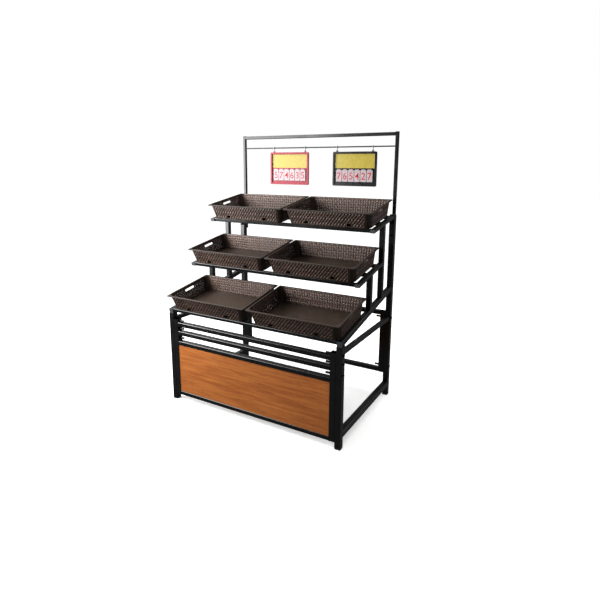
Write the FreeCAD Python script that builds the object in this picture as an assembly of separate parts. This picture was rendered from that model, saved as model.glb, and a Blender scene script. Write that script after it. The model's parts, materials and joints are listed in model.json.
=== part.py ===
"""Three-tier produce display rack: a welded and bolted steel tube frame with tilted tiers, a
wood-grain front guard, six wicker-look baskets and two hanging price signs with flip cards.

Millimetres. +Z is up and the front faces -Y. The origin is on the floor, at the centre of the
rack's bounding box.
"""
import FreeCAD, Part
import math
import os

V = FreeCAD.Vector
AXIS_X = V(1, 0, 0)
AXIS_Y = V(0, 1, 0)
AXIS_Z = V(0, 0, 1)
ORIGIN = V(0, 0, 0)

# Overall sizes
width = 1200.0
depth = 760.0
height = 1700.0
front_height = 600.0
tilt = 11.5

# Steel tubes, outside sizes
leg_tube = 35.0
step_tube = 30.0
side_rail_tube = 25.0
tier_rail_wide = 30.0
tier_rail_tall = 20.0
cross_bar = 20.0
frame_rail_tall = 25.0
sign_tube = 20.0
tube_wall = 1.5
tube_bevel = 2.0

# Tiers: heights of the upper two above the lower, and where their rails and posts stand
middle_rise = 258.0
top_rise = 532.0
middle_setback = 202.0
lower_post_run = 174.0
upper_post_run = 158.0
rear_leg_rise = 4.3
bar_inset = 2.0

# Level rails and the guard: heights above the floor, and drops below the front height
bottom_rail_z = 60.0
guard_bottom_z = 39.0
brace_lower_z = 155.0
side_rail_drop = 80.0
guard_top_drop = 64.0
upper_slat_drop = 108.0
lower_slat_drop = 164.0
panel_rail_drop = 229.0
brace_upper_drop = 52.0

# Wood-grain panel of the guard, and the steel tabs behind it
panel_thick = 12.0
panel_inset = 2.0
panel_gap = 0.5
tab_wide = 40.0
tab_tall = 25.0
tab_thick = 3.0
tab_inset = 150.0

# Sign frame
sign_overlap = 160.0
sign_post_inset = 11.0
rod_d = 8.0
rod_drop = 86.0

# Plastic inserts in the tube ends
foot_tall = 8.0
cap_thick = 3.0
plug_long = 14.0
plug_gap = 0.2

# Bolt heads and capped nuts
hex_across = 13.0
head_tall = 5.3
nut_tall = 6.5
cap_across = 11.0
guard_bolt_cap = 24.0
sign_bolt_cap = 10.0
guard_bolt_drops = (74.0, 123.5, 184.0)
brace_bolt_low = 200.0
brace_bolt_drop = 67.0
sign_bolt_drops = (50.0, 130.0)

# Baskets
basket_gap = 14.0
basket_margin = 14.0
basket_deep = 352.0
basket_overhang = 39.0
basket_tall = 97.0
basket_wall = 2.5
basket_base = 3.0
basket_set = 4.0
rest_gap = 0.3
rim_reach = 8.0
rim_lip = 9.0
rim_corner = 6.0
wall_lean = 15.0
wall_corner = 36.0
corner_flats = 4
small_flats = 2
row_shift = {"lower": 12.0, "middle": -4.0, "top": -1.0}

# Openings in a basket: slots of its woven pattern, which stand upright in the rear, hand slots and notches
front_slots = 20
rear_slots = 12
end_slots = 6
slot_wide = 6.0
slot_slant = 32.0
slot_low = 12.0
slot_high = 82.0
end_slot_high = 52.0
hand_slot_long = 82.0
hand_slot_tall = 20.0
hand_slot_drop = 26.0
notch_wide = 22.0
notch_tall = 22.0
notch_place = 142.0
slot_flat = 1.0

# Price signs, each placed from the sign post of its own side
sign_place = {"left": 382.0, "right": 282.0}
board_wide = 308.0
board_tall = 218.0
board_corner = 8.0
board_plate = 4.0
border_wide = 12.0
border_tall = 7.0
sheet_margin = 1.0
sheet_low = 5.0
sheet_high = 95.0
sheet_thick = 0.8
sheet_gap = 0.1
card_count = 6
card_wide = 40.0
card_tall = 76.0
card_thick = 1.0
card_pitch = 43.5
wire_d = 2.4
wire_drop = 5.5
wire_stand = 4.2
loop_bore = 3.4
loop_long = 24.0
ear_thick = 3.0
ear_gap = 4.2
ear_half = 4.0
ear_place = 126.0
pin_d = 4.0
pin_rise = 7.0
hook_thick = 3.2
hook_drop = 23.0
hook_head = 16.0
hook_bore = 8.8
hook_eye = 9.2
hook_eye_bore = 4.6
hook_stem = 5.0
hook_mouth = 6.5
hook_bevel = 3.0

# Places that follow from the sizes above
slope = math.radians(tilt)
basket_long = (width - basket_gap) / 2 - basket_margin
basket_reach = ((rim_reach + wall_lean - basket_set) * math.cos(slope)
                + (basket_tall + rest_gap) * math.sin(slope))
front = (basket_reach - depth - head_tall) / 2
leg_back = front + leg_tube
sign_back = front + depth
rear_back = sign_back - sign_tube
rear_front = rear_back - leg_tube
front_leg_y = front + leg_tube / 2
rear_leg_y = rear_back - leg_tube / 2
leg_x = (width - leg_tube) / 2
stile_x = leg_x - leg_tube
guard_half = stile_x - leg_tube / 2
sign_x = width / 2 - sign_post_inset - sign_tube / 2
sign_y = sign_back - sign_tube / 2
cross_half = leg_x - tier_rail_wide / 2
tier_run = basket_deep - basket_overhang
top_front = rear_front - tier_run
middle_front = front + middle_setback
lower_post_y = middle_front + lower_post_run
upper_post_y = top_front + upper_post_run
tier_front = {"lower": front, "middle": middle_front, "top": top_front}
tier_height = {"lower": front_height, "middle": front_height + middle_rise, "top": front_height + top_rise}
rear_leg_height = tier_height["top"] + tier_run * math.tan(slope) + rear_leg_rise
panel_rail_z = front_height - panel_rail_drop
brace_upper_z = front_height - brace_upper_drop
sign_post_bottom = rear_leg_height - sign_overlap
rod_z = height - rod_drop
board_z = rod_z - hook_drop - pin_rise - board_tall / 2
side_signs = {"left": -1, "right": 1}
sign_centres = {name: side * (sign_x - sign_place[name]) for name, side in side_signs.items()}


def outline(a, b, r, flats, z=0.0):
    """Points of an outline a by b about the Z axis, with each corner of radius r in equal flats."""
    points = []
    for quarter, (right, up) in enumerate(((1, 1), (-1, 1), (-1, -1), (1, -1))):
        for k in range(flats + 1):
            angle = math.radians(90 * (quarter + k / flats))
            points.append(V(right * (a / 2 - r) + r * math.cos(angle), up * (b / 2 - r) + r * math.sin(angle), z))
    return points


def flat_face(points):
    """Plane face inside a closed row of points."""
    return Part.Face(Part.makePolygon(points + points[:1]))


def prism(points, along):
    """Solid swept from a closed row of points."""
    return flat_face(points).extrude(along)


def taper(low, high):
    """Solid between two like outlines at different heights."""
    sides = [[low[k - 1], low[k], high[k], high[k - 1]] for k in range(len(low))]
    faces = [flat_face(points) for points in [low[::-1], high] + sides]
    return Part.makeSolid(Part.makeShell(faces))


def block(x0, x1, y0, y1, z0, z1):
    """Plain box between two corners."""
    return Part.makeBox(x1 - x0, y1 - y0, z1 - z0, V(x0, y0, z0))


def cylinder(d, start, end):
    """Round bar between two points."""
    return Part.makeCylinder(d / 2, (end - start).Length, start, end - start)


def row(count, pitch):
    """Evenly spaced places about zero."""
    return [(k - (count - 1) / 2) * pitch for k in range(count)]


def upright(a, b, length):
    """Hollow tube that stands on the XY plane about the Z axis."""
    bore = block(tube_wall - a / 2, a / 2 - tube_wall, tube_wall - b / 2, b / 2 - tube_wall, 0, length)
    return prism(outline(a, b, tube_bevel, 1), V(0, 0, length)).cut(bore)


def post(x, y, z0, z1, size):
    """Square tube that stands at x, y."""
    tube = upright(size, size, z1 - z0)
    tube.translate(V(x, y, z0))
    return tube


def beam_x(half, y, z, deep, tall):
    """Tube across the rack, from -half to half, its centre line at y and z."""
    tube = upright(tall, deep, 2 * half)
    tube.rotate(ORIGIN, AXIS_Y, 90)
    tube.translate(V(-half, y, z))
    return tube


def beam_y(x, y0, y1, z, wide, tall):
    """Tube from front to back, its centre line at x and z."""
    tube = upright(wide, tall, y1 - y0)
    tube.rotate(ORIGIN, AXIS_X, -90)
    tube.translate(V(x, y0, z))
    return tube


def on_tier(shape, tier):
    """Moves a shape from a tier's own frame to the rack. In the tier's frame the top plane of its
    rails is z = 0 and their front ends are at y = 0."""
    shape.rotate(ORIGIN, AXIS_X, tilt)
    shape.translate(V(0, tier_front[tier], tier_height[tier]))
    return shape


def tier_layer(tier, z0, z1):
    """A layer parallel to a tier, wider and deeper than the rack, for cutting tube ends."""
    return on_tier(block(-width, width, -depth, 2 * depth, z0, z1), tier)


def behind(y):
    """Everything behind a plane, for cutting tube ends upright."""
    return block(-width, width, y, y + 2 * depth, -height, 2 * height)


def front_leg(side):
    """Front leg, its top cut to the slope of the rail that lies on it."""
    tube = post(side * leg_x, front_leg_y, foot_tall, front_height + leg_tube, leg_tube)
    return tube.cut(tier_layer("lower", -step_tube, height))


def rear_leg(side):
    """Rear leg, up to its cap."""
    return post(side * leg_x, rear_leg_y, foot_tall, rear_leg_height - cap_thick, leg_tube)


def bottom_rail(side):
    """Low rail between the legs of one side."""
    return beam_y(side * leg_x, leg_back, rear_front, bottom_rail_z + leg_tube / 2, leg_tube, leg_tube)


def side_rail(side):
    """Upper level rail between the legs of one side."""
    z = front_height - side_rail_drop + side_rail_tube / 2
    return beam_y(side * leg_x, leg_back, rear_front, z, side_rail_tube, side_rail_tube)


def tier_rail(side, tier, tall, back):
    """Tilted rail of a tier, cut upright where it meets the post or leg behind it."""
    rail = beam_y(side * leg_x, 0, 2 * depth, -tall / 2, tier_rail_wide, tall)
    return on_tier(rail, tier).cut(behind(back))


def step_post(side, y, tier):
    """Post on the sloped rail, under a rail of a higher tier, with both ends cut to the slope."""
    tube = post(side * leg_x, y, front_height, rear_leg_height, step_tube)
    tube = tube.cut(tier_layer("lower", -height, 0))
    return tube.cut(tier_layer(tier, -tier_rail_tall, height))


def cross_bars(tier):
    """The three bars across a tier, under the front, middle and rear of the baskets' bases."""
    first = bar_inset
    last = basket_set + basket_deep - 2 * (rim_reach + wall_lean) - cross_bar
    bars = []
    for place in (first, (first + last) / 2, last):
        bar = beam_x(cross_half, place + cross_bar / 2, -cross_bar / 2, cross_bar, cross_bar)
        bars.append(on_tier(bar, tier))
    return Part.makeCompound(bars)


def frame_rail(y, z):
    """Level rail between the stiles of the guard or the brace, z at its lower face."""
    return beam_x(guard_half, y, z + frame_rail_tall / 2, leg_tube, frame_rail_tall)


def panel_tabs(z0, z1):
    """Pair of tabs welded to a guard rail, behind the panel."""
    y0 = front + panel_inset + panel_thick
    return [block(x - tab_wide / 2, x + tab_wide / 2, y0, y0 + tab_thick, z0, z1)
            for x in (tab_inset - guard_half, guard_half - tab_inset)]


def guard_rails():
    """Both slats of the guard and the rail over the panel, which carries two tabs."""
    panel_rail = frame_rail(front_leg_y, panel_rail_z)
    panel_rail = panel_rail.fuse(panel_tabs(panel_rail_z - tab_tall, panel_rail_z)).removeSplitter()
    slats = [frame_rail(front_leg_y, front_height - drop) for drop in (lower_slat_drop, upper_slat_drop)]
    return Part.makeCompound([panel_rail] + slats)


def guard_bottom_rail():
    """Rail under the panel, with two tabs."""
    rail = frame_rail(front_leg_y, guard_bottom_z)
    top = guard_bottom_z + frame_rail_tall
    return rail.fuse(panel_tabs(top, top + tab_tall)).removeSplitter()


def guard_panel():
    """Board that fills the lower opening of the guard."""
    half = guard_half - panel_gap
    y0 = front + panel_inset
    z0 = guard_bottom_z + frame_rail_tall + panel_gap
    return block(-half, half, y0, y0 + panel_thick, z0, panel_rail_z - panel_gap)


def sign_post(side):
    """Slim post bolted to the back of a rear leg."""
    return post(side * sign_x, sign_y, sign_post_bottom + cap_thick, height - cap_thick, sign_tube)


def sign_top_rail():
    """Rail between the tops of the sign posts."""
    z = height - cap_thick - sign_tube / 2
    return beam_x(sign_x - sign_tube / 2, sign_y, z, sign_tube, sign_tube)


def sign_rod():
    """Round rod that the signs hang on, welded between the posts."""
    half = sign_x - sign_tube / 2
    return cylinder(rod_d, V(-half, sign_y, rod_z), V(half, sign_y, rod_z))


def insert(a, b, flange):
    """Plastic insert for a tube a by b that opens upwards: a flange on top and a plug below it."""
    slack = 2 * (tube_wall + plug_gap)
    plug = block((slack - a) / 2, (a - slack) / 2, (slack - b) / 2, (b - slack) / 2, -plug_long, 0)
    return prism(outline(a, b, tube_bevel, 1), V(0, 0, flange)).fuse(plug).removeSplitter()


def tube_inserts():
    """Feet, leg and post caps, and the plugs in the front ends of the tiers' rails."""
    pieces = []
    for side in (-1, 1):
        for y in (front_leg_y, rear_leg_y):
            foot = insert(leg_tube, leg_tube, foot_tall)
            foot.rotate(ORIGIN, AXIS_X, 180)
            foot.translate(V(side * leg_x, y, foot_tall))
            pieces.append(foot)
        leg_cap = insert(leg_tube, leg_tube, cap_thick)
        leg_cap.translate(V(side * leg_x, rear_leg_y, rear_leg_height - cap_thick))
        post_cap = insert(sign_tube, sign_tube, cap_thick)
        post_cap.translate(V(side * sign_x, sign_y, height - cap_thick))
        post_end = insert(sign_tube, sign_tube, cap_thick)
        post_end.rotate(ORIGIN, AXIS_X, 180)
        post_end.translate(V(side * sign_x, sign_y, sign_post_bottom + cap_thick))
        pieces += [leg_cap, post_cap, post_end]
        for tier, tall in (("lower", step_tube), ("middle", tier_rail_tall), ("top", tier_rail_tall)):
            plug = insert(tier_rail_wide, tall, cap_thick)
            plug.rotate(ORIGIN, AXIS_X, 90)
            plug.translate(V(side * leg_x, 0, -tall / 2))
            pieces.append(on_tier(plug, tier))
    return Part.makeCompound(pieces)


def hexagon(across, x0, x1):
    """Hexagon bar along X."""
    radius = across / math.sqrt(3)
    points = [V(x0, radius * math.cos(k * math.pi / 3), radius * math.sin(k * math.pi / 3)) for k in range(6)]
    return prism(points, V(x1 - x0, 0, 0))


def bolt(grip, cap_long):
    """Ends of a bolt along +X: the head before the origin, and past the grip the nut with its cap."""
    nut = hexagon(hex_across, grip, grip + nut_tall)
    cap = hexagon(cap_across, grip + nut_tall, grip + nut_tall + cap_long)
    return Part.makeCompound([hexagon(hex_across, -head_tall, 0), nut.fuse(cap).removeSplitter()])


def bolts():
    """All bolts of the frame. Those of the guard and the brace have their heads on the outside,
    and those of the sign posts have theirs at the back."""
    guard_heights = [front_height - drop for drop in guard_bolt_drops]
    brace_heights = [brace_bolt_low, front_height - brace_bolt_drop]
    pieces = []
    for side in (-1, 1):
        for y, heights in ((front_leg_y, guard_heights), (rear_leg_y, brace_heights)):
            for z in heights:
                piece = bolt(2 * leg_tube, guard_bolt_cap)
                piece.rotate(ORIGIN, AXIS_Z, 90 * (1 + side))
                piece.translate(V(side * width / 2, y, z))
                pieces += piece.Solids
        for drop in sign_bolt_drops:
            piece = bolt(leg_tube + sign_tube, sign_bolt_cap)
            piece.rotate(ORIGIN, AXIS_Z, -90)
            piece.translate(V(side * sign_x, sign_back, rear_leg_height - drop))
            pieces += piece.Solids
    return Part.makeCompound(pieces)


def basket_block(z0, z1, inset):
    """Tapered block between two heights, with the basket's leaning walls moved inwards by inset."""
    rings = []
    for z in (z0, z1):
        shrink = 2 * (rim_reach + wall_lean * (1 - z / basket_tall) + inset)
        rings.append(outline(basket_long - shrink, basket_deep - shrink, wall_corner - inset, corner_flats, z))
    return taper(*rings)


def rim_block(inset, z0, z1):
    """Upright block between two heights, with the rim's outline moved inwards by inset."""
    points = outline(basket_long - 2 * inset, basket_deep - 2 * inset,
                     rim_corner - inset, small_flats, z0)
    return prism(points, V(0, 0, z1 - z0))


def woven_slot(x, low, high, slant):
    """Corners of one slot of the woven pattern, as x and z, leaning to the right by the slant."""
    lean = (high - low) * math.tan(math.radians(slant)) / 2
    half = slot_wide / 2
    return [(x - lean - half, low), (x - lean + half, low), (x + lean + half, high), (x + lean - half, high)]


def wall_cut(points, half_span, turn):
    """Cutter through one wall. The points are given on the front wall, half_span from the centre, and
    turned about the Z axis to the wall that they belong to."""
    reach = rim_reach + 2 * wall_lean
    cutter = prism([V(x, -half_span, z) for x, z in points], V(0, reach, 0))
    cutter.rotate(ORIGIN, AXIS_Z, turn)
    return cutter


def basket_openings():
    """Every opening in the basket's walls."""
    half_x = basket_long / 2 - rim_reach - wall_lean - wall_corner
    half_y = basket_deep / 2 - rim_reach - wall_lean - wall_corner
    front_back = basket_deep / 2
    cutters = []
    for count, slant, turn in ((front_slots, slot_slant, 0), (rear_slots, 0, 180)):
        for x in row(count, 2 * half_x / count):
            near_notch = turn == 0 and min(abs(x - notch_place), abs(x + notch_place)) < notch_wide
            low = notch_tall + slot_wide if near_notch else slot_low
            cutters.append(wall_cut(woven_slot(x, low, slot_high, slant), front_back, turn))
    hand_slot = [(point.x, point.y + basket_tall - hand_slot_drop)
                 for point in outline(hand_slot_long, hand_slot_tall, hand_slot_tall / 2 - slot_flat, small_flats)]
    for turn in (90, -90):
        for x in row(end_slots, 2 * half_y / end_slots):
            cutters.append(wall_cut(woven_slot(x, slot_low, end_slot_high, slot_slant), basket_long / 2, turn))
        cutters.append(wall_cut(hand_slot, basket_long / 2, turn))
    for place in (-notch_place, notch_place):
        arch = [(place + point.x, point.y)
                for point in outline(notch_wide, 2 * notch_tall, notch_wide / 2 - slot_flat, small_flats)]
        cutters.append(wall_cut(arch, front_back, 0))
    return Part.makeCompound(cutters)


def basket():
    """Moulded basket about the Z axis: leaning walls with rounded corners, a turned-down rim that runs
    out to nearly sharp corners, the slots of a woven pattern, a hand slot in each end and two notches
    under the front."""
    body = basket_block(0, basket_tall, 0)
    lip = rim_block(0, basket_tall - rim_lip, basket_tall)
    channel = rim_block(basket_wall, basket_tall - rim_lip, basket_tall - basket_wall)
    hollow = basket_block(basket_base, basket_tall + rim_lip, basket_wall)
    return body.fuse(lip.cut(channel)).cut(hollow).cut(basket_openings()).removeSplitter()


def placed_basket(shape, tier, side):
    """One basket of a tier, resting on its cross bars."""
    placed = shape.copy()
    x = row_shift[tier] + side * (basket_long + basket_gap) / 2
    y = basket_set + basket_deep / 2 - rim_reach - wall_lean
    placed.translate(V(x, y, rest_gap))
    return on_tier(placed, tier)


def stand_sign(shape, centre):
    """Stands a sign piece up. It is drawn lying on its back about the board's centre, with x to the
    right, y up the sign and z towards the viewer."""
    shape.rotate(ORIGIN, AXIS_X, 90)
    shape.translate(V(centre, sign_y, board_z))
    return shape


def cross_plate(points, x0, x1):
    """Plate between two values of x, with its outline given as y and z."""
    return prism([V(x0, y, z) for y, z in points], V(x1 - x0, 0, 0))


def sheet_block(grow):
    """The coloured sheet, or its recess, which is wider and taller by grow on each side."""
    half = board_wide / 2 - border_wide - sheet_margin + grow
    return block(-half, half, sheet_low - grow, sheet_high + grow, -sheet_thick, 0)


def sign_board(centre):
    """Moulded board with a raised border, a recess for the sheet, the wire for the cards, and two
    forked ears with pins on its top edge."""
    board = prism(outline(board_wide, board_tall, board_corner, small_flats, -board_plate),
                  V(0, 0, board_plate + border_tall))
    inner_wide = board_wide - 2 * border_wide
    inner_tall = board_tall - 2 * border_wide
    window = block(-inner_wide / 2, inner_wide / 2, -inner_tall / 2, inner_tall / 2, 0, border_tall)
    board = board.cut(window).cut(sheet_block(sheet_gap))
    wire_end = V(inner_wide / 2, -wire_drop, wire_stand)
    added = [cylinder(wire_d, V(-wire_end.x, wire_end.y, wire_end.z), wire_end)]
    top = board_tall / 2
    pin_y = top + pin_rise
    ear = [(top, -ear_half), (pin_y, -ear_half), (pin_y + ear_half, -ear_half / 2),
           (pin_y + ear_half, ear_half / 2), (pin_y, ear_half), (top, ear_half)]
    for place in (-ear_place, ear_place):
        inner = ear_gap / 2
        added.append(cross_plate(ear, place - inner - ear_thick, place - inner))
        added.append(cross_plate(ear, place + inner, place + inner + ear_thick))
        added.append(cylinder(pin_d, V(place - inner, pin_y, 0), V(place + inner, pin_y, 0)))
    return stand_sign(board.fuse(added).removeSplitter(), centre)


def sign_sheet(centre):
    """Coloured sheet in the board's recess."""
    return stand_sign(sheet_block(0), centre)


def sign_hooks(centre):
    """Pair of flat hooks: each has an open ring over the rod and an eye on a pin of the board."""
    eye_y = board_tall / 2 + pin_rise
    rod_y = eye_y + hook_drop
    hooks = []
    for place in (-ear_place, ear_place):
        x0, x1 = place - hook_thick / 2, place + hook_thick / 2
        head = cross_plate([(rod_y + p.x, p.y) for p in outline(hook_head, hook_head, hook_bevel, 1)], x0, x1)
        eye = cross_plate([(eye_y + p.x, p.y) for p in outline(hook_eye, hook_eye, hook_bevel, 1)], x0, x1)
        stem = block(x0, x1, eye_y, rod_y, -hook_stem / 2, hook_stem / 2)
        bore = cylinder(hook_bore, V(x0, rod_y, 0), V(x1, rod_y, 0))
        mouth = block(x0, x1, rod_y - hook_mouth / 2, rod_y + hook_mouth / 2, -hook_head, 0)
        eye_bore = block(x0, x1, eye_y - hook_eye_bore / 2, eye_y + hook_eye_bore / 2,
                         -hook_eye_bore / 2, hook_eye_bore / 2)
        hook = head.fuse([eye, stem]).cut(Part.makeCompound([bore, mouth, eye_bore]))
        hooks.append(hook.removeSplitter())
    return stand_sign(Part.makeCompound(hooks), centre)


def flip_card(centre, x):
    """Digit card with a folded loop round the wire."""
    outer = loop_bore / 2 + card_thick
    inner = loop_bore / 2
    card = block(x - card_wide / 2, x + card_wide / 2, -wire_drop - card_tall, -wire_drop - inner,
                 wire_stand - card_thick / 2, wire_stand + card_thick / 2)
    loop = block(x - loop_long / 2, x + loop_long / 2, -wire_drop - outer, -wire_drop + outer,
                 wire_stand - outer, wire_stand + outer)
    bore = block(x - loop_long / 2, x + loop_long / 2, -wire_drop - inner, -wire_drop + inner,
                 wire_stand - inner, wire_stand + inner)
    return stand_sign(card.fuse(loop).cut(bore).removeSplitter(), centre)


def all_nodes():
    """Every named piece of the rack."""
    guard_top = front_height - guard_top_drop
    brace_top = brace_upper_z + frame_rail_tall
    nodes = {}
    for name, side in side_signs.items():
        nodes["front_leg_" + name] = front_leg(side)
        nodes["rear_leg_" + name] = rear_leg(side)
        nodes["bottom_rail_" + name] = bottom_rail(side)
        nodes["side_rail_" + name] = side_rail(side)
        nodes["sloped_rail_" + name] = tier_rail(side, "lower", step_tube, rear_front)
        nodes["lower_post_" + name] = step_post(side, lower_post_y, "middle")
        nodes["upper_post_" + name] = step_post(side, upper_post_y, "top")
        nodes["middle_rail_" + name] = tier_rail(side, "middle", tier_rail_tall, upper_post_y - step_tube / 2)
        nodes["top_rail_" + name] = tier_rail(side, "top", tier_rail_tall, rear_front)
        nodes["guard_stile_" + name] = post(side * stile_x, front_leg_y, guard_bottom_z, guard_top, leg_tube)
        nodes["brace_stile_" + name] = post(side * stile_x, rear_leg_y, brace_lower_z, brace_top, leg_tube)
        nodes["sign_post_" + name] = sign_post(side)
    nodes["guard_rails"] = guard_rails()
    nodes["guard_bottom_rail"] = guard_bottom_rail()
    nodes["guard_panel"] = guard_panel()
    nodes["brace_lower_rail"] = frame_rail(rear_leg_y, brace_lower_z)
    nodes["brace_upper_rail"] = frame_rail(rear_leg_y, brace_upper_z)
    nodes["sign_top_rail"] = sign_top_rail()
    nodes["sign_rod"] = sign_rod()
    nodes["tube_inserts"] = tube_inserts()
    nodes["bolts"] = bolts()
    plain_basket = basket()
    for tier in tier_front:
        nodes[tier + "_cross_bars"] = cross_bars(tier)
        for name, side in side_signs.items():
            nodes[tier + "_basket_" + name] = placed_basket(plain_basket, tier, side)
    for name, centre in sign_centres.items():
        nodes[name + "_sign_board"] = sign_board(centre)
        nodes[name + "_sign_sheet"] = sign_sheet(centre)
        nodes[name + "_sign_hooks"] = sign_hooks(centre)
        for number, x in enumerate(row(card_count, card_pitch), start=1):
            nodes[name + "_card_" + str(number)] = flip_card(centre, x)
    return nodes


os.makedirs("parts", exist_ok=True)
for node, shape in all_nodes().items():
    shape.exportStep("parts/" + node + ".step")
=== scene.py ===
"""Looks of a produce display rack: powder-coated tube frame, wood-grain guard, six wicker-look baskets
and two hanging price signs. Metres, +Z up, the front faces -Y."""
import bpy
import json
import math
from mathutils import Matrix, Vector
import numpy as np

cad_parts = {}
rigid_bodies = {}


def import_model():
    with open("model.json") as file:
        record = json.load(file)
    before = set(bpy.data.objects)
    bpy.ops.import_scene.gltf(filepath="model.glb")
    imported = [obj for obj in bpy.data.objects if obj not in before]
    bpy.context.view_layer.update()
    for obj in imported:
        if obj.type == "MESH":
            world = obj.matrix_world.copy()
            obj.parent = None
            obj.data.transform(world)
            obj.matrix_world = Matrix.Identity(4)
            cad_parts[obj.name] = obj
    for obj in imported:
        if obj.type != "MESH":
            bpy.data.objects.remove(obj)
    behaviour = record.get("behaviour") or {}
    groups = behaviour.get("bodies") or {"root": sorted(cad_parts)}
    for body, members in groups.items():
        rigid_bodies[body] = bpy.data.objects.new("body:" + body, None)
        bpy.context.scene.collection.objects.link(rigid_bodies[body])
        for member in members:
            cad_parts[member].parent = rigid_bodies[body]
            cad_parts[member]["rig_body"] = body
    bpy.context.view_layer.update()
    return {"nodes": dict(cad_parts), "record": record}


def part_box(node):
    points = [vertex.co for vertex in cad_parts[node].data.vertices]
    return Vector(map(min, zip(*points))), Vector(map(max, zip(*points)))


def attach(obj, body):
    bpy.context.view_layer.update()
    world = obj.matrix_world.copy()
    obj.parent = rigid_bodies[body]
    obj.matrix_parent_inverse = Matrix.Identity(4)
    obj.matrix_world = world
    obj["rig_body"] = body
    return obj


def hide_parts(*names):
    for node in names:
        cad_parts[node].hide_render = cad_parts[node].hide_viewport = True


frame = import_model()

MM = 0.001
UP = np.array([0.0, 0.0, 1.0])

# Basket sizes
TILT = math.radians(11.5)
BASKET_DEEP = 352 * MM
BASKET_TALL = 97 * MM
RIM_REACH = 8 * MM
RIM_DROP = 6 * MM
RIM_CORNER = 6 * MM
WALL_LEAN = 15 * MM
WALL_CORNER = 36 * MM
WALL_THICK = 2.5 * MM
BASE_THICK = 3 * MM
LEAN_RATE = WALL_LEAN / BASKET_TALL

# Weave of the baskets: a slanted twill on the front and the ends, an upright grid on the rear. Values keyed
# 1 and -1 are those of strands that rise to the right and to the left, or that stand and lie
TWILL_PITCH = 20 * MM
TWILL_SLANT = math.radians(42)
TWILL_WIDE = 12.8 * MM
TWILL_RIB = {1: 7 * MM, -1: 4.4 * MM}
# Strands that rise to the left get a much lower value: painted shade, as if they lay behind the others
TWILL_TONE_AND_SHADE = {1: 0.62, -1: 0.1}
GRID_PITCH = 16 * MM
GRID_WIDE = 14.4 * MM
GRID_RIB = 11.6 * MM
GRID_TONE = 0.45
STRAND_THICK = 4 * MM
STRAND_WAVE = 1.2 * MM
STRAND_CREST = 0.7
TONE_SPREAD = 0.45
WEB_THICK = {1: 0.7 * MM, -1: 1.1 * MM}
SHORTEST_STRAND = 4 * MM
WEAVE_LOW = 7 * MM
WEAVE_HIGH = 90 * MM
WEAVE_LAP = 3 * MM

# Plain parts of the baskets
RIM_EDGE = 2.2 * MM
RIM_FIT = 0.4 * MM
SKIRT_LAP = 3 * MM
BAND_HIGH = 9 * MM
BAND_PROUD = 0.6 * MM
BAND_STEPS = 8
BASE_FIT = 1 * MM
BASE_RELIEF = 0.25 * MM
BASE_ROWS = 85
BASE_COLUMNS = 141
CORNER_RIBS = 8
RIB_PROUD = 1.5 * MM
RIB_STEPS = 6
CORNER_LAP = 4 * MM
CORNER_LOW = 1 * MM
HAND_SLOT_HALF = 41 * MM
HAND_SLOT_Z = 71 * MM
HAND_SLOT_RISE = 10 * MM
SLOT_FRAME = 7 * MM
OPENING_FLAT = 1 * MM
FRAME_PROUD = 1.5 * MM
FRAME_SIDES = 10
NOTCH_X = 142 * MM
NOTCH_HALF = 14 * MM
NOTCH_TOP = 29 * MM
NOTCH_LOW = 4 * MM
NOTCH_FRAME = 4 * MM
POCKET_DEEP = 26 * MM
POCKET_WALL = 1.5 * MM

# Price cards
CARD_THICK = 1 * MM
DIGIT_TALL = 44 * MM
DIGIT_DEEP = 0.12 * MM
DIGIT_BOLD = 0.2 * MM
DIGIT_PLACE = 0.46
DIGITS = {"left": "574635", "right": "765427"}

# Edges that turn by more than this stay sharp
SHARP_EDGE = math.radians(40)

# Studio. Each light has a name, a place, a width, a height and a power in watts
FLOOR_HALF = 40.0
GLOW_FROM = (-0.85, 0.5, 0.17)
LIGHT_AIM = Vector((0, 0, 0.9))
LIGHTS = (
    ("key", (-2.6, -0.7, 2.4), 0.8, 0.8, 75.0),
    ("window", (-1.3, -0.95, 1.35), 1.4, 1.3, 60.0),
    ("fill", (2.5, 1.5, 1.5), 2.0, 2.0, 15.0),
)


def linear(code):
    """Linear colour of an sRGB hex code: a channel up to 0.04045 is divided by 12.92, and for a
    larger one (channel + 0.055) / 1.055 is raised to the power 2.4."""
    srgb = np.array([int(code[k:k + 2], 16) for k in (1, 3, 5)]) / 255
    value = np.where(srgb <= 0.04045, srgb / 12.92, ((srgb + 0.055) / 1.055) ** 2.4)
    return (*value.tolist(), 1.0)


def add(tree, kind, sockets=None, stops=(), **settings):
    """Adds one shader node. A socket gets a plain value, or a link where it gets another node's
    output. Stops are the places and hex colours of a ramp."""
    made = tree.nodes.new("ShaderNode" + kind)
    for name, value in settings.items():
        setattr(made, name, value)
    for name, value in (sockets or {}).items():
        if isinstance(value, bpy.types.NodeSocket):
            tree.links.new(value, made.inputs[name])
        else:
            made.inputs[name].default_value = value
    for k, (place, code) in enumerate(stops):
        ramp = made.color_ramp.elements
        stop = ramp[k] if k < 2 else ramp.new(place)
        stop.position = place
        stop.color = linear(code)
    return made


def new_material(name, **sockets):
    """Material with one principled shader, whose sockets get plain values by their names."""
    material = bpy.data.materials.new(name)
    material.use_nodes = True
    tree = material.node_tree
    tree.nodes.clear()
    shader = add(tree, "BsdfPrincipled", {key.replace("_", " "): value for key, value in sockets.items()})
    add(tree, "OutputMaterial", {"Surface": shader.outputs["BSDF"]})
    return material, tree, shader


def wire(tree, shader, colour, gloss, bump=None):
    """Links a colour output, the node of the roughness and that of a bump to the shader."""
    tree.links.new(colour, shader.inputs["Base Color"])
    tree.links.new(gloss.outputs["Result"], shader.inputs["Roughness"])
    if bump is not None:
        tree.links.new(bump.outputs["Normal"], shader.inputs["Normal"])


def per_metre(size):
    """Scale of a noise texture whose spots are about one size apart, in metres."""
    return 1 / size


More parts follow.
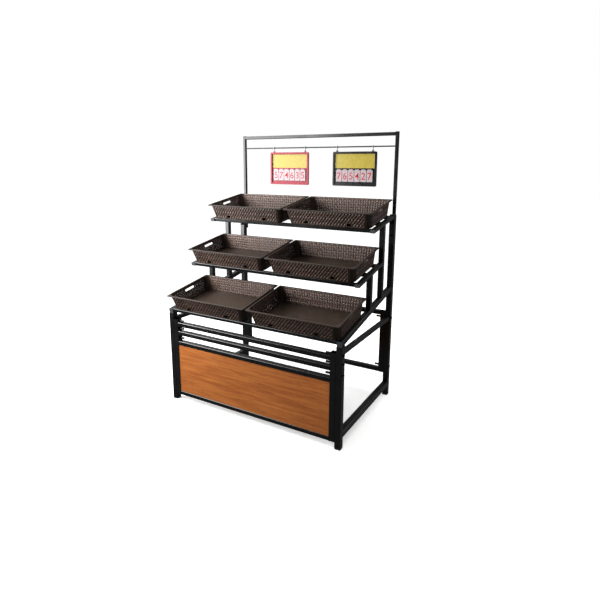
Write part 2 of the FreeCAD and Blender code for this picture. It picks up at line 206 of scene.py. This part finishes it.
def powder_coated_steel():
    """Mild steel tube, powder coated in satin black and baked: a soft broad gloss over a faint
    orange peel, a little dust in patches."""
    material, tree, shader = new_material("powder_coated_steel", IOR=1.5)
    place = add(tree, "TexCoord").outputs["Object"]
    dust = add(tree, "TexNoise", {"Vector": place, "Scale": per_metre(90 * MM), "Detail": 5.0})
    colour = add(tree, "ValToRGB", {"Fac": dust.outputs["Fac"]}, stops=((0.35, "#060607"), (0.75, "#0d0e0f")))
    gloss = add(tree, "MapRange", {"Value": dust.outputs["Fac"], "From Min": 0.3, "From Max": 0.7,
                                   "To Min": 0.24, "To Max": 0.36})
    # The peel of a real coat is about 1 mm, and is drawn at 3 mm to show
    peel = add(tree, "TexNoise", {"Vector": place, "Scale": per_metre(3 * MM), "Detail": 2.0})
    bump = add(tree, "Bump", {"Height": peel.outputs["Fac"], "Strength": 0.12, "Distance": 0.2 * MM})
    wire(tree, shader, colour.outputs["Color"], gloss, bump)
    return material


def moulded_polyethylene():
    """Polyethylene tube inserts, injection moulded with a spark-eroded grain: dark grey and matt."""
    material, tree, shader = new_material("moulded_polyethylene", IOR=1.51)
    place = add(tree, "TexCoord").outputs["Object"]
    grain = add(tree, "TexNoise", {"Vector": place, "Scale": per_metre(1.2 * MM), "Detail": 3.0})
    colour = add(tree, "ValToRGB", {"Fac": grain.outputs["Fac"]}, stops=((0.3, "#3b3d40"), (0.7, "#4d5053")))
    gloss = add(tree, "MapRange", {"Value": grain.outputs["Fac"], "To Min": 0.5, "To Max": 0.62})
    bump = add(tree, "Bump", {"Height": grain.outputs["Fac"], "Strength": 0.25, "Distance": 0.15 * MM})
    wire(tree, shader, colour.outputs["Color"], gloss, bump)
    return material


def blackened_zinc():
    """Steel bolts, zinc plated and blackened: a dark grey metal with a cloudy gloss."""
    material, tree, shader = new_material("blackened_zinc", Metallic=1.0)
    place = add(tree, "TexCoord").outputs["Object"]
    cloud = add(tree, "TexNoise", {"Vector": place, "Scale": per_metre(4 * MM), "Detail": 4.0})
    colour = add(tree, "ValToRGB", {"Fac": cloud.outputs["Fac"]}, stops=((0.3, "#1b1c1e"), (0.75, "#34363a")))
    gloss = add(tree, "MapRange", {"Value": cloud.outputs["Fac"], "To Min": 0.28, "To Max": 0.5})
    wire(tree, shader, colour.outputs["Color"], gloss)
    return material


def melamine_faced_board():
    """Particle board faced with printed melamine paper: a long level grain in orange brown, with
    darker growth lines, short pores and a satin face."""
    material, tree, shader = new_material("melamine_faced_board", IOR=1.55)
    place = add(tree, "TexCoord").outputs["Object"]
    # The tone drifts over 320 mm along the board and 40 mm across it
    wander = add(tree, "Mapping", {"Vector": place, "Scale": (1.0, 1.0, 8.0)})
    drift = add(tree, "TexNoise", {"Vector": wander.outputs["Vector"], "Scale": per_metre(320 * MM),
                                   "Detail": 3.0, "Distortion": 0.6})
    # Growth lines are 14 mm apart and about 230 mm long
    lines = add(tree, "Mapping", {"Vector": place, "Scale": (0.06, 0.06, 1.0)})
    growth = add(tree, "TexNoise", {"Vector": lines.outputs["Vector"], "Scale": per_metre(14 * MM),
                                    "Detail": 6.0, "Roughness": 0.62, "Distortion": 0.35})
    # Pores are 1.6 mm apart and about 45 mm long
    streak = add(tree, "Mapping", {"Vector": place, "Scale": (0.035, 0.035, 1.0)})
    pores = add(tree, "TexNoise", {"Vector": streak.outputs["Vector"], "Scale": per_metre(1.6 * MM),
                                   "Detail": 2.0})
    broad = add(tree, "ValToRGB", {"Fac": drift.outputs["Fac"]},
                stops=((0.3, "#bb6d30"), (0.7, "#d2803d"), (0.5, "#c67636")))
    fine = add(tree, "ValToRGB", {"Fac": growth.outputs["Fac"]}, stops=((0.3, "#a86a3c"), (0.62, "#ffffff")))
    mixed = add(tree, "Mix", {0: 0.55, 6: broad.outputs["Color"], 7: fine.outputs["Color"]},
                data_type="RGBA", blend_type="MULTIPLY")
    dots = add(tree, "ValToRGB", {"Fac": pores.outputs["Fac"]}, stops=((0.36, "#7a4420"), (0.46, "#ffffff")))
    colour = add(tree, "Mix", {0: 0.3, 6: mixed.outputs[2], 7: dots.outputs["Color"]},
                 data_type="RGBA", blend_type="MULTIPLY")
    gloss = add(tree, "MapRange", {"Value": pores.outputs["Fac"], "To Min": 0.52, "To Max": 0.36})
    bump = add(tree, "Bump", {"Height": pores.outputs["Fac"], "Strength": 0.15, "Distance": 0.15 * MM})
    wire(tree, shader, colour.outputs[2], gloss, bump)
    return material


def strand_polypropylene():
    """Polypropylene moulded as flat cane: dark brown strands that differ a little in tone, each with
    fine grooves along it and a satin skin. Painted shade darkens the webs between the ribs to near black, and
    the strands that lie under."""
    material, tree, shader = new_material("strand_polypropylene", IOR=1.49)
    fibre_and_shade = add(tree, "Attribute", attribute_name="fibre_and_shade")
    parts = add(tree, "SeparateXYZ", {"Vector": fibre_and_shade.outputs["Vector"]})
    # Painted shade: 0, near black, on the webs between the ribs, and low values on strands that lie under;
    # the rest is the strands' own tone
    tone_and_shade = add(tree, "ValToRGB", {"Fac": parts.outputs["Z"]},
               stops=((0.0, "#0b0807"), (1.0, "#7c6255"), (0.35, "#534039")))
    # Grooves are 0.7 mm apart and run along the strand
    along = add(tree, "Mapping", {"Vector": fibre_and_shade.outputs["Vector"], "Scale": (0.05, 1.0, 0.02)})
    groove = add(tree, "TexNoise", {"Vector": along.outputs["Vector"], "Scale": per_metre(0.7 * MM),
                                    "Detail": 2.0})
    shade = add(tree, "ValToRGB", {"Fac": groove.outputs["Fac"]}, stops=((0.3, "#b4a8a2"), (0.65, "#ffffff")))
    colour = add(tree, "Mix", {0: 0.7, 6: tone_and_shade.outputs["Color"], 7: shade.outputs["Color"]},
                 data_type="RGBA", blend_type="MULTIPLY")
    gloss = add(tree, "MapRange", {"Value": groove.outputs["Fac"], "To Min": 0.36, "To Max": 0.5})
    bump = add(tree, "Bump", {"Height": groove.outputs["Fac"], "Strength": 0.3, "Distance": 0.2 * MM})
    wire(tree, shader, colour.outputs[2], gloss, bump)
    return material


def plain_polypropylene(name, dark, light, rough):
    """Polypropylene of the baskets' rims, corners and bases, moulded smooth: dark brown with cloudy
    flow marks and a soft, weak sheen."""
    material, tree, shader = new_material(name, IOR=1.49, Specular_IOR_Level=0.3)
    place = add(tree, "TexCoord").outputs["Object"]
    flow = add(tree, "TexNoise", {"Vector": place, "Scale": per_metre(45 * MM), "Detail": 4.0,
                                  "Distortion": 0.8})
    colour = add(tree, "ValToRGB", {"Fac": flow.outputs["Fac"]}, stops=((0.3, dark), (0.72, light)))
    gloss = add(tree, "MapRange", {"Value": flow.outputs["Fac"], "To Min": rough - 0.06,
                                   "To Max": rough + 0.08})
    grain = add(tree, "TexNoise", {"Vector": place, "Scale": per_metre(1.5 * MM), "Detail": 2.0})
    bump = add(tree, "Bump", {"Height": grain.outputs["Fac"], "Strength": 0.12, "Distance": 0.15 * MM})
    wire(tree, shader, colour.outputs["Color"], gloss, bump)
    return material


def moulded_styrene(name, dark, light, rough):
    """Styrene or acrylic pieces of the signs, moulded in a polished tool: an even colour with a
    clear but weak gloss and faint handling marks."""
    material, tree, shader = new_material(name, IOR=1.53, Specular_IOR_Level=0.2)
    place = add(tree, "TexCoord").outputs["Object"]
    marks = add(tree, "TexNoise", {"Vector": place, "Scale": per_metre(30 * MM), "Detail": 6.0,
                                   "Roughness": 0.65})
    colour = add(tree, "ValToRGB", {"Fac": marks.outputs["Fac"]}, stops=((0.3, dark), (0.7, light)))
    gloss = add(tree, "MapRange", {"Value": marks.outputs["Fac"], "From Min": 0.3, "From Max": 0.7,
                                   "To Min": rough, "To Max": rough + 0.14})
    wire(tree, shader, colour.outputs["Color"], gloss)
    return material


def pale_floor():
    """Matt painted floor, almost white, with a glow of its own that takes it close to the backdrop."""
    material, tree, shader = new_material("matt_floor_paint", IOR=1.45, Roughness=0.9, Emission_Strength=0.45)
    place = add(tree, "TexCoord").outputs["Object"]
    cloud = add(tree, "TexNoise", {"Vector": place, "Scale": per_metre(600 * MM), "Detail": 3.0})
    colour = add(tree, "ValToRGB", {"Fac": cloud.outputs["Fac"]}, stops=((0.3, "#f4f4f3"), (0.7, "#fbfbfa")))
    tree.links.new(colour.outputs["Color"], shader.inputs["Base Color"])
    return material


def loft(rings, closed=False):
    """Points and faces of many lofts at once. The rings have the shape (lofts, rings, points, 3).
    Quads join each ring to the next round its closed profile. A closed loft joins its last ring to
    its first, and an open one gets one face over each end."""
    count, along, around, _ = rings.shape
    index = np.arange(count * along * around).reshape(count, along, around)
    near = index if closed else index[:, :-1]
    far = np.roll(index, -1, axis=1) if closed else index[:, 1:]
    quads = np.stack([near, np.roll(near, -1, 2), np.roll(far, -1, 2), far], axis=-1).reshape(-1, 4)
    faces = quads.tolist()
    if not closed:
        faces += index[:, 0, ::-1].tolist() + index[:, -1].tolist()
    return rings.reshape(-1, 3), faces


def joined(shapes):
    """One set of points and faces from several: each shape's faces count on from the points before."""
    starts = np.cumsum([0] + [len(points) for points, _ in shapes])
    faces = [[start + k for k in face] for start, (_, faces) in zip(starts, shapes) for face in faces]
    return np.concatenate([points for points, _ in shapes]), faces


def scene_object(name, data):
    """New object of a mesh, text, light or camera, in the scene."""
    made = bpy.data.objects.new(name, data)
    bpy.context.scene.collection.objects.link(made)
    return made


def piece(name, shape, material, body):
    """Object of a new piece, smooth but for its sharp edges, that rides on a body."""
    points, faces = shape
    mesh = bpy.data.meshes.new(name)
    mesh.from_pydata(points.tolist(), [], faces)
    mesh.materials.append(material)
    mesh.shade_smooth()
    mesh.set_sharp_from_angle(angle=SHARP_EDGE)
    made = scene_object(name, mesh)
    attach(made, body)
    return made


def rounded_outline(half_x, half_y, radius, steps=6):
    """Points round a rectangle with round corners, anticlockwise: each corner is a quarter circle about
    the point one radius in from both sides. The sizes may be arrays, and the points come last."""
    quarter = np.arange(4).repeat(steps + 1)
    angle = math.pi / 2 * (quarter + np.tile(np.linspace(0, 1, steps + 1), 4))
    right = np.array([1, -1, -1, 1])[quarter]
    up = np.array([1, 1, -1, -1])[quarter]
    half_x, half_y, radius = (np.asarray(size)[..., None] for size in (half_x, half_y, radius))
    return right * (half_x - radius) + radius * np.cos(angle), up * (half_y - radius) + radius * np.sin(angle)


def oval(wide, tall, count):
    """Points round an ellipse, clockwise from its left end: half its width times the cosine and half
    its height times the sine of a falling angle."""
    angle = math.pi - 2 * math.pi * np.arange(count) / count
    return wide / 2 * np.cos(angle), tall / 2 * np.sin(angle)


class Wall:
    """One leaning wall of a basket, in the basket's own frame. Along runs to the right seen from
    outside, and the middle of the wall's thickness is the reference."""

    def __init__(self, along, outward, half_span, half_flat):
        self.along = np.array(along, float)
        self.outward = np.array(outward, float)
        self.foot = half_span - RIM_REACH - WALL_LEAN - WALL_THICK / 2
        self.half_flat = half_flat
        self.normal = (self.outward - LEAN_RATE * UP) / math.hypot(1, LEAN_RATE)

    def edge(self, z):
        """Half the flat length between the corners at height z, which grows with the lean."""
        return self.half_flat + LEAN_RATE * z

    def points(self, x, z, out):
        """Points at x along the wall and height z, moved outwards by out along the wall's normal."""
        x, z, out = (np.asarray(value)[..., None] for value in np.broadcast_arrays(x, z, out))
        return x * self.along + (self.foot + LEAN_RATE * z) * self.outward + z * UP + out * self.normal


def strand_sides(wide, rib):
    """Places across a strand of its profile's points: the edges of the web and the foot and crest of the
    rib, over the outer face and back under the inner one."""
    half = np.array([wide, rib, STRAND_CREST * rib, -STRAND_CREST * rib, -rib, -wide]) / 2
    return np.concatenate([half, half[::-1]])


def strand_rings(wall, x, z, side, lift, web, tone_and_shade):
    """Rings of strands, from the places x and z of all their profile points: a thin web with a rib along
    the middle of both faces. The lift moves the rib in and out of the web. The web gets nothing, painted
    shade between the ribs, and the ribs' value, tone and painted shade, differs from rib to rib."""
    face = np.repeat([1, -1], 6)
    on_rib = np.array(2 * [0, 0, 1, 1, 0, 0])
    proud = face * np.where(on_rib, STRAND_THICK, web) / 2 + on_rib * lift[..., None]
    rings = wall.points(x, z, proud)
    fibre_and_shade = np.zeros(rings.shape)
    fibre_and_shade[..., 0] = np.linalg.norm(rings - rings[:, :1], axis=3)
    fibre_and_shade[..., 1] = side
    spread = TONE_SPREAD * np.random.default_rng(len(lift)).random((len(lift), 1, 1))
    # Nothing on the web is painted shade between the ribs; the rib's value is its tone, with painted shade
    # where it lies under
    fibre_and_shade[..., 2] = on_rib * (tone_and_shade + spread)
    return rings, fibre_and_shade


def twill(step):
    """Over and under of a two-and-one twill: +1, +1, -1 at whole steps, with smooth ramps between."""
    cycle = np.array([1.0, 1.0, -1.0])
    whole = np.floor(step).astype(int)
    part = step - whole
    ramp = part * part * (3 - 2 * part)
    return cycle[whole % 3] * (1 - ramp) + cycle[(whole + 1) % 3] * ramp


def twill_strands(wall, x0, x1, z0, z1, turn):
    """Slanted strands in one panel of a wall. Strand k follows x = k pitch + turn z tan(slant), and lies
    over or under where the other slant's lines cross it. Its rings are level, so it ends on the panel's
    lower and upper edge, and points past the panel's or the wall's left and right edge are moved back to
    it. Turn is 1 for strands that rise to the right and -1 for those that rise to the left."""
    rate = turn * math.tan(TWILL_SLANT)
    side = strand_sides(TWILL_WIDE, TWILL_RIB[turn])
    half = TWILL_WIDE / 2 / math.cos(TWILL_SLANT)
    left, right = max(x0, -wall.edge(z1)) - half, min(x1, wall.edge(z1)) + half
    shifts = sorted((rate * z0, rate * z1))
    first = math.ceil((left - shifts[1]) / TWILL_PITCH)
    last = math.floor((right - shifts[0]) / TWILL_PITCH)
    number = np.arange(first, last + 1)
    sides = np.sort([(left - number * TWILL_PITCH) / rate, (right - number * TWILL_PITCH) / rate], axis=0)
    start = np.maximum(z0, sides[0])
    end = np.minimum(z1, sides[1])
    kept = end - start > SHORTEST_STRAND
    number, start, end = number[kept, None], start[kept, None], end[kept, None]
    steps = math.ceil(4 * (z1 - z0) * abs(rate) / TWILL_PITCH)
    z = start + (end - start) * np.linspace(0, 1, steps + 1)
    x = number * TWILL_PITCH + rate * z
    other = (x + rate * z) / TWILL_PITCH
    lift = turn * STRAND_WAVE * twill(turn * (other - number))
    z = z[..., None]
    low, high = np.maximum(x0, -wall.edge(z)), np.minimum(x1, wall.edge(z))
    x = np.clip(x[..., None] - side / math.cos(TWILL_SLANT), low, high)
    return strand_rings(wall, x, z, side, lift, WEB_THICK[turn], TWILL_TONE_AND_SHADE[turn])


def grid_strands(wall, z0, z1, upright):
    """Upright or level strands of a wall between two heights, shared out evenly at about one pitch from
    edge to edge. The lift is a cosine that turns over at each crossing, and is opposite on the two sets."""
    side = strand_sides(GRID_WIDE, GRID_RIB)
    across, up = round(2 * wall.half_flat / GRID_PITCH), round((z1 - z0) / GRID_PITCH)
    own_count, count = (across, up) if upright else (up, across)
    number = np.arange(own_count + 1)[:, None]
    step = np.arange(2 * count + 1) / 2
    wave = STRAND_WAVE * np.cos(math.pi * (step + number))
    if upright:
        z = (z0 + (z1 - z0) * step / count)[:, None]
        x = (2 * number / own_count - 1)[..., None] * wall.edge(z) - side
        return strand_rings(wall, x, z, side, wave, WEB_THICK[1], GRID_TONE)
    z = (z0 + (z1 - z0) * number / own_count)[..., None] + side
    x = (2 * step / count - 1)[:, None] * wall.edge(z)
    return strand_rings(wall, x, z, side, -wave, WEB_THICK[-1], GRID_TONE)


def hoop(wall, x, z, half_x, half_z, radius, wide):
    """Rounded frame round an opening in a wall: an oval profile carried round an outline."""
    side, proud = oval(wide, WALL_THICK + FRAME_PROUD, FRAME_SIDES)
    right, up = rounded_outline(half_x + side, half_z + side, radius + side)
    rings = wall.points(x + right, z + up, proud[:, None])
    return loft(rings.transpose(1, 0, 2)[None], closed=True)


def pocket(wall, x, z, half_x, half_z, radius):
    """Blind pocket behind an opening in a wall: a cup with thin walls, its mouth in the wall and its end
    inside the basket."""
    grow = np.array([0, 0, POCKET_WALL, POCKET_WALL])
    deep = np.array([-POCKET_DEEP, 0, 0, -POCKET_DEEP - POCKET_WALL])
    right, up = rounded_outline(half_x + grow, half_z + grow, radius + grow)
    return loft(wall.points(x + right, z + up, deep[:, None])[None])


def band(half_x, half_y, out, z, radius):
    """Closed band round a basket: a profile of points at a distance out from the wall's top and a
    height, carried round the basket's outline, with a corner radius for each point."""
    grow = out - RIM_REACH
    right, back = rounded_outline(half_x + grow, half_y + grow, radius, BAND_STEPS)
    rings = np.stack([right, back, z[:, None] + 0 * right], axis=-1)
    return loft(rings.transpose(1, 0, 2)[None], closed=True)


def basket_rim(half_x, half_y):
    """Rim: a skirt up the inside of the walls, a flat top with round edges and a turned-down lip. The
    skirt follows the walls' round corners, and the lip runs out to nearly sharp ones."""
    turn = np.linspace(0, math.pi / 2, 5)
    sine = RIM_EDGE * (1 - np.sin(turn))
    cosine = RIM_EDGE * (1 - np.cos(turn))
    skirt = WEAVE_HIGH - SKIRT_LAP
    lean = LEAN_RATE * (BASKET_TALL - skirt)
    inner = -WALL_THICK
    behind = RIM_REACH - WALL_THICK
    under = BASKET_TALL - WALL_THICK
    lip = BASKET_TALL - RIM_DROP
    out = np.concatenate([[inner - lean], inner + cosine, RIM_REACH - sine,
                          [RIM_REACH, behind, behind, RIM_FIT, RIM_FIT - lean]])
    z = np.concatenate([[skirt], BASKET_TALL - sine, BASKET_TALL - cosine, [lip, lip, under, under, skirt]])
    # Corner of the skirt's points, of the lip's and of the last two, which lie on the wall again
    corner = np.repeat([WALL_CORNER, RIM_CORNER - RIM_REACH, WALL_CORNER], [6, 8, 2])
    return band(half_x, half_y, out, z, corner + out)


def basket_foot(half_x, half_y):
    """Plain band round the foot of the walls, a little proud of the weave."""
    inner = -WALL_THICK - BAND_PROUD
    shoulder = BAND_HIGH - BAND_PROUD
    inner_low, outer_low, lowest = 1 * MM, 1.2 * MM, 0.2 * MM
    out = np.array([inner, inner, BAND_PROUD / 2, BAND_PROUD, BAND_PROUD, 0])
    z = np.array([inner_low, shoulder, BAND_HIGH, shoulder, outer_low, lowest])
    return band(half_x, half_y, out + LEAN_RATE * (z - BASKET_TALL), z, WALL_CORNER + out)


def basket_base(half_x, half_y):
    """Base plate. Rows across it follow the round corners: the half width at y is less by
    radius - sqrt(radius^2 - over^2), where over is how far y lies past the corner's centre. Its top
    has a shallow cushion relief, a product of two cosines."""
    foot = RIM_REACH + WALL_LEAN + BASE_FIT
    wide, deep = half_x - foot, half_y - foot
    radius = WALL_CORNER - BASE_FIT
    y = deep * np.sin(np.linspace(-math.pi / 2, math.pi / 2, BASE_ROWS))[:, None]
    over = np.clip(np.abs(y) - (deep - radius), 0, radius)
    half = wide - radius + np.sqrt(np.maximum(radius ** 2 - over ** 2, 0))
    x = half * np.linspace(-1, 1, BASE_COLUMNS)
    relief = BASE_RELIEF * np.cos(math.pi * x / GRID_PITCH) * np.cos(math.pi * y / GRID_PITCH)
    top = np.stack([x, y + 0 * x, BASE_THICK + relief], axis=-1)
    under = np.stack([x[:, ::-1], y + 0 * x, 0 * x], axis=-1)
    return loft(np.concatenate([top, under], axis=1)[None])


def basket_corners(half_x, half_y):
    """Four solid corners with upright ribs: in plan the radius is the corner's plus a rib's height times
    the size of a sine, with a short lap on each wall, and the centre moves outwards with the lean."""
    turn = np.linspace(0, math.pi / 2, RIB_STEPS * CORNER_RIBS + 1)
    radius = WALL_CORNER + RIB_PROUD * np.abs(np.sin(2 * CORNER_RIBS * turn))
    inner = WALL_CORNER - WALL_THICK
    right = np.concatenate([[WALL_CORNER], radius * np.cos(turn), [-CORNER_LAP, -CORNER_LAP],
                            inner * np.cos(turn[::-1]), [inner]])
    back = np.concatenate([[-CORNER_LAP], radius * np.sin(turn), [WALL_CORNER, inner],
                           inner * np.sin(turn[::-1]), [-CORNER_LAP]])
    z = np.array([CORNER_LOW, WEAVE_HIGH])[:, None]
    shrink = RIM_REACH + WALL_LEAN - LEAN_RATE * z + WALL_CORNER
    rings = []
    for quarter, (sign_x, sign_y) in enumerate(((1, 1), (-1, 1), (-1, -1), (1, -1))):
        cos, sin = math.cos(quarter * math.pi / 2), math.sin(quarter * math.pi / 2)
        x = sign_x * (half_x - shrink) + cos * right - sin * back
        y = sign_y * (half_y - shrink) + sin * right + cos * back
        rings.append(np.stack([x, y, z + 0 * x], axis=-1))
    return loft(np.stack(rings))


def basket_placer(node):
    """Function that takes points from a basket's own frame to the rack: its centre lies over the middle
    of its base, and it is turned back by the tilt about X. The place follows from the node's box."""
    low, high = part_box(node)
    sin, cos = math.sin(TILT), math.cos(TILT)
    rear_top = high.z - BASKET_DEEP * sin
    along = low.y * cos + rear_top * sin + BASKET_DEEP / 2
    rise = rear_top * cos - low.y * sin - BASKET_TALL
    middle = (low.x + high.x) / 2

    def place(points):
        x, y, z = np.moveaxis(points, -1, 0)
        y, z = y + along, z + rise
        return np.stack([x + middle, y * cos - z * sin, y * sin + z * cos], axis=-1)

    return place, (high.x - low.x) / 2


def basket(node, strand_finish, shell_finish, rim_finish):
    """One woven basket, in place of its node: strands, plain shell and rim."""
    place, half_x = basket_placer(node)
    half_y = BASKET_DEEP / 2
    inset = RIM_REACH + WALL_LEAN + WALL_CORNER - WEAVE_LAP
    long_flat, short_flat = half_x - inset, half_y - inset
    front = Wall((1, 0, 0), (0, -1, 0), half_y, long_flat)
    rear = Wall((-1, 0, 0), (0, 1, 0), half_y, long_flat)
    ends = [Wall((0, 1, 0), (1, 0, 0), half_x, short_flat), Wall((0, -1, 0), (-1, 0, 0), half_x, short_flat)]

    panels = [(front, -half_x, half_x, NOTCH_TOP, WEAVE_HIGH)]
    near, far = NOTCH_X - NOTCH_HALF, NOTCH_X + NOTCH_HALF
    for left, right in ((-half_x, -far), (-near, near), (far, half_x)):
        panels.append((front, left, right, WEAVE_LOW, NOTCH_TOP))
    slot_low = HAND_SLOT_Z - HAND_SLOT_RISE
    slot_high = HAND_SLOT_Z + HAND_SLOT_RISE
    for end in ends:
        panels.append((end, -half_y, half_y, WEAVE_LOW, slot_low))
        panels.append((end, -half_y, -HAND_SLOT_HALF, slot_low, WEAVE_HIGH))
        panels.append((end, HAND_SLOT_HALF, half_y, slot_low, WEAVE_HIGH))
        panels.append((end, -HAND_SLOT_HALF, HAND_SLOT_HALF, slot_high, WEAVE_HIGH))
    woven = [twill_strands(*panel, turn) for panel in panels for turn in (1, -1)]
    woven += [grid_strands(rear, WEAVE_LOW, WEAVE_HIGH, upright) for upright in (True, False)]
    weave = joined([loft(place(rings)) for rings, _ in woven])
    strands = piece(node + "_strands", weave, strand_finish, node)
    # Third part of the attribute: tone of the ribs, with painted shade on the webs and on the strands that
    # lie under
    fibre_and_shade = strands.data.attributes.new("fibre_and_shade", "FLOAT_VECTOR", "POINT")
    fibre_and_shade.data.foreach_set("vector", np.concatenate([marks.reshape(-1, 3) for _, marks in woven]).ravel())

    shell = [basket_foot(half_x, half_y), basket_base(half_x, half_y), basket_corners(half_x, half_y)]
    hand_slot = (0, HAND_SLOT_Z, HAND_SLOT_HALF, HAND_SLOT_RISE, HAND_SLOT_RISE - OPENING_FLAT)
    shell += [hoop(end, *hand_slot, SLOT_FRAME) for end in ends]
    notch_mid = (NOTCH_LOW + NOTCH_TOP) / 2
    notch_rise = (NOTCH_TOP - NOTCH_LOW) / 2
    for x in (-NOTCH_X, NOTCH_X):
        notch = (x, notch_mid, NOTCH_HALF, notch_rise, notch_rise - OPENING_FLAT)
        shell.append(hoop(front, *notch, NOTCH_FRAME))
        shell.append(pocket(front, *notch))
    points, faces = joined(shell)
    plain = piece(node + "_shell", (place(points), faces), shell_finish, node)
    points, faces = basket_rim(half_x, half_y)
    piece(node + "_rim", (place(points), faces), rim_finish, node)
    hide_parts(node)


def card_digit(node, digit, ink):
    """Printed digit on a card: a text outline with a little depth, made a mesh and set on the card."""
    low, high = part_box(node)
    text = bpy.data.curves.new(node + "_digit", "FONT")
    text.body = digit
    text.size = DIGIT_TALL
    text.align_x = "CENTER"
    text.extrude = DIGIT_DEEP / 2
    text.offset = DIGIT_BOLD
    holder = scene_object(node + "_text", text)
    bpy.context.view_layer.update()
    flat = bpy.data.meshes.new_from_object(holder.evaluated_get(bpy.context.evaluated_depsgraph_get()))
    bpy.data.objects.remove(holder)
    points = np.zeros(3 * len(flat.vertices))
    flat.vertices.foreach_get("co", points)
    x, y, z = points.reshape(-1, 3).T
    grow = DIGIT_TALL / (y.max() - y.min())
    y = grow * (y - (y.min() + y.max()) / 2)
    x = grow * (x - (x.min() + x.max()) / 2)
    face = (low.y + high.y) / 2 - CARD_THICK / 2
    middle = low.z + DIGIT_PLACE * (high.z - low.z)
    placed = np.stack([(low.x + high.x) / 2 + x, face - z, middle + y], axis=1)
    faces = [list(polygon.vertices) for polygon in flat.polygons]
    body = frame["nodes"][node]["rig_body"]
    piece(node + "_digit", (placed, faces), ink, body)
    bpy.data.meshes.remove(flat)


def studio():
    """Pale floor, a white backdrop on all sides, and soft lights: a wide one from the ceiling, a key high on
    the left, a window near the left front and a weak fill behind on the right. The floor gives the rack no
    reflections or bounced light, and the surround lights it most from behind on the left."""
    corners = FLOOR_HALF * np.array([[-1, -1, 0], [1, -1, 0], [1, 1, 0], [-1, 1, 0]])
    mesh = bpy.data.meshes.new("floor")
    mesh.from_pydata(corners.tolist(), [], [[0, 1, 2, 3]])
    mesh.materials.append(pale_floor())
    floor = scene_object("floor", mesh)
    floor.visible_glossy = False
    floor.visible_diffuse = False

    world = bpy.data.worlds.new("surround")
    bpy.context.scene.world = world
    world.use_nodes = True
    tree = world.node_tree
    place = add(tree, "TexCoord").outputs["Generated"]
    facing = add(tree, "VectorMath", {0: place, 1: GLOW_FROM}, operation="DOT_PRODUCT")
    glow = add(tree, "MapRange", {"Value": facing.outputs["Value"], "From Min": 0.87, "From Max": 0.96,
                                  "To Min": 0.12, "To Max": 0.9})
    backdrop = add(tree, "LightPath").outputs["Is Camera Ray"]
    strength = add(tree, "Math", {0: glow.outputs["Result"], 1: backdrop}, operation="MAXIMUM")
    tree.links.new(strength.outputs["Value"], tree.nodes["Background"].inputs["Strength"])
    tree.nodes["Background"].inputs["Color"].default_value = (1.0, 1.0, 1.0, 1.0)

    sky = bpy.data.lights.new("ceiling", "SUN")
    sky.energy = 2.1
    sky.angle = math.radians(60)
    scene_object("ceiling", sky)

    for name, spot, wide, tall, power in LIGHTS:
        light = bpy.data.lights.new(name, "AREA")
        light.shape = "RECTANGLE"
        light.size = wide
        light.size_y = tall
        light.energy = power
        lamp = scene_object(name, light)
        lamp.location = spot
        lamp.rotation_euler = (LIGHT_AIM - lamp.location).to_track_quat("-Z", "Y").to_euler()


def camera():
    """Camera at the photograph's place, turn and framing, for a square image."""
    lens = bpy.data.cameras.new("camera")
    lens.sensor_width = 36.0
    lens.lens = 26.44
    lens.shift_x = -0.0599
    lens.shift_y = -0.0605
    lens.clip_end = 200.0
    made = scene_object("camera", lens)
    made.location = (1.50453, -2.25638, 1.39714)
    made.rotation_euler = (1.38510, -0.02034, 0.46899)
    bpy.context.scene.camera = made


finishes = {
    "frame_steel": powder_coated_steel(),
    "insert_plastic": moulded_polyethylene(),
    "bolt_steel": blackened_zinc(),
    "guard_wood": melamine_faced_board(),
    "basket_plastic": plain_polypropylene("shell_polypropylene", "#30261f", "#3e322a", 0.46),
    "sign_red": moulded_styrene("red_styrene", "#94162d", "#a42138", 0.24),
    "sign_black": moulded_styrene("black_styrene", "#121314", "#1d1e20", 0.22),
    "sheet_yellow": moulded_styrene("yellow_sheet", "#b9a644", "#c2b04e", 0.2),
    "card_white": moulded_styrene("white_card", "#bdabae", "#c8b7ba", 0.3),
    "hook_plastic": moulded_styrene("pale_acetal", "#b9bdbd", "#d2d6d5", 0.3),
}
for part in frame["record"]["subparts"]:
    frame["nodes"][part["node"]].material_slots[0].material = finishes[part["material_slot"]]

strand_finish = strand_polypropylene()
rim_finish = plain_polypropylene("rim_polypropylene", "#291f19", "#362a22", 0.56)
for node in sorted(frame["nodes"]):
    if "_basket_" in node:
        basket(node, strand_finish, finishes["basket_plastic"], rim_finish)

ink = moulded_styrene("red_ink", "#b02235", "#c22c40", 0.4)
for sign, digits in DIGITS.items():
    for number, digit in enumerate(digits, start=1):
        card_digit("%s_card_%d" % (sign, number), digit, ink)

studio()
camera()
bpy.context.scene.view_settings.view_transform = "Standard"
